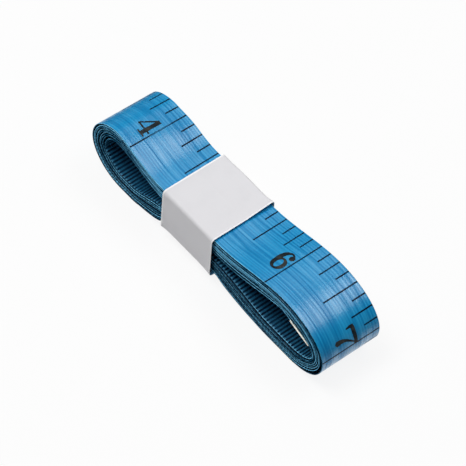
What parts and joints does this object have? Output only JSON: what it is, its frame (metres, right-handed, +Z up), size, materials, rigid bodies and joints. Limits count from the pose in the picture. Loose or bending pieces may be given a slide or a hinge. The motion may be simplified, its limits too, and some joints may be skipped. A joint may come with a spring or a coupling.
{
  "type": "cloth tape measure",
  "caption": "Flexible tailor's tape measure wound flat into a loop that is squeezed at its waist by a paper band, with a folded brass clip on each end of the tape.",
  "frame": {"origin": "on the surface that the tape measure lies on, below the middle of its box", "axes": "+X along the winding, from the small loop to the large one, +Y across the tape, away from the side whose loops show, +Z up"},
  "size_m": [0.0852, 0.0186, 0.0196],
  "materials": {
    "blue_vinyl_cloth": "woven cloth with a glossy blue vinyl coat and a black printed scale",
    "brass": "bright folded sheet",
    "white_paper": "smooth matt"
  },
  "bodies": {
    "winding": {"tape_strip": "blue_vinyl_cloth", "outer_end_clip": "brass", "inner_end_clip": "brass"},
    "band": {"paper_band": "white_paper"}
  },
  "joints": [
    {"name": "band_slide", "type": "slide", "parent": "winding", "child": "band", "axis": [1, 0, 0], "range_m": [-0.001, 0.002]}
  ]
}
